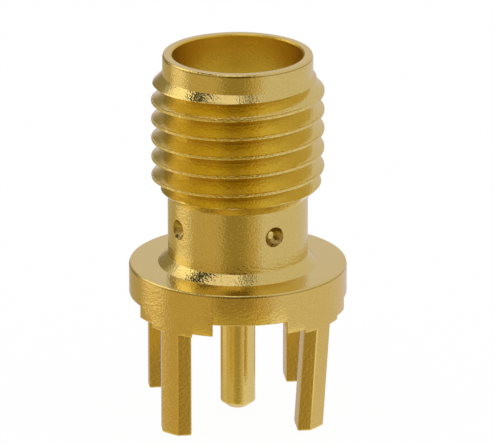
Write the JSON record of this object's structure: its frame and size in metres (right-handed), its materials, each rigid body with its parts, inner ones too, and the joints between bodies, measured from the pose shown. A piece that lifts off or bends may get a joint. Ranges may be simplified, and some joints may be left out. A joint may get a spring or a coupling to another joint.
{
  "type": "coaxial connector jack",
  "caption": "Gold plated coaxial jack with a threaded coupling end, a round flange, four square legs and a centre solder pin for upright mounting on a circuit board.",
  "frame": {"origin": "on the connector's axis in the plane of the circuit board's top face, which is the underside of the four standoffs", "axes": "+Z along the axis towards the mating end, with the legs in the four diagonal directions between X and Y"},
  "size_m": [0.0078, 0.0078, 0.0134],
  "materials": {
    "body_gold": "satin gold plating on brass",
    "insulator_white": "waxy white fluoropolymer",
    "contact_gold": "smooth gold plating on copper alloy"
  },
  "bodies": {
    "root": {"connector_body": "body_gold", "insulator": "insulator_white", "contact": "contact_gold"}
  },
  "joints": []
}
